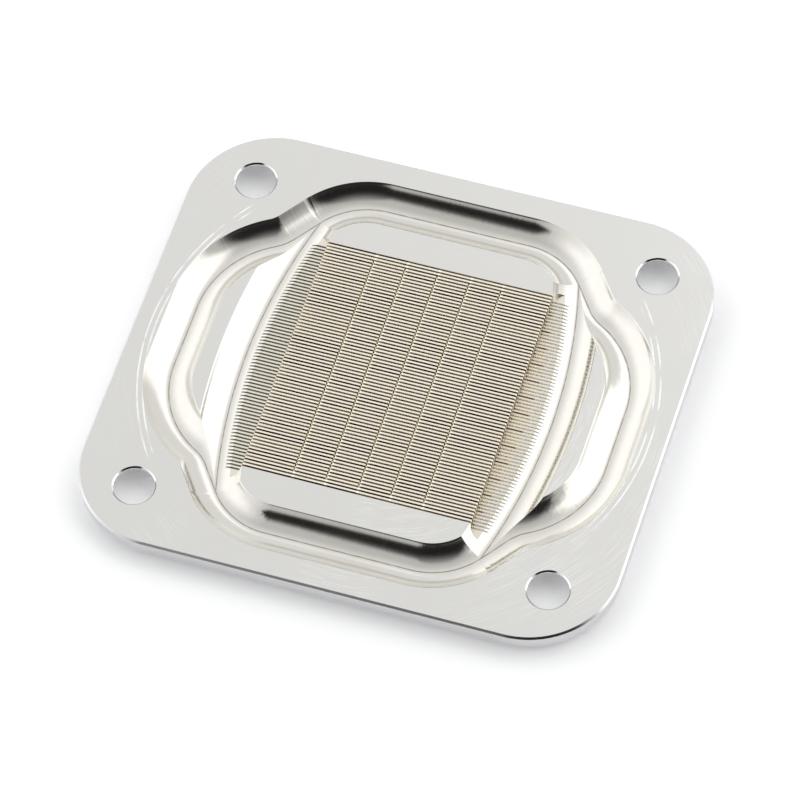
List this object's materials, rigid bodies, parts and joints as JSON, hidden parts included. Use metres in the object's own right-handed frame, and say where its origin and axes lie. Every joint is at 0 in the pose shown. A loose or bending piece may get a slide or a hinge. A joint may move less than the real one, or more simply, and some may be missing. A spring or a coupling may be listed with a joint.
{
  "type": "water block cold plate",
  "caption": "Nickel-plated copper cold plate of a processor water block, with a fine fin field, a round-bottomed ring groove, side channels and countersunk screw holes.",
  "frame": {"origin": "middle of the flat contact face on the underside", "axes": "+X along the cooling slots, +Y across the slots, +Z out of the fin side, up"},
  "size_m": [0.0562, 0.0504, 0.0024],
  "materials": {
    "nickel_plate": "bright nickel plating over milled copper"
  },
  "bodies": {
    "root": {"cold_plate": "nickel_plate"}
  },
  "joints": []
}
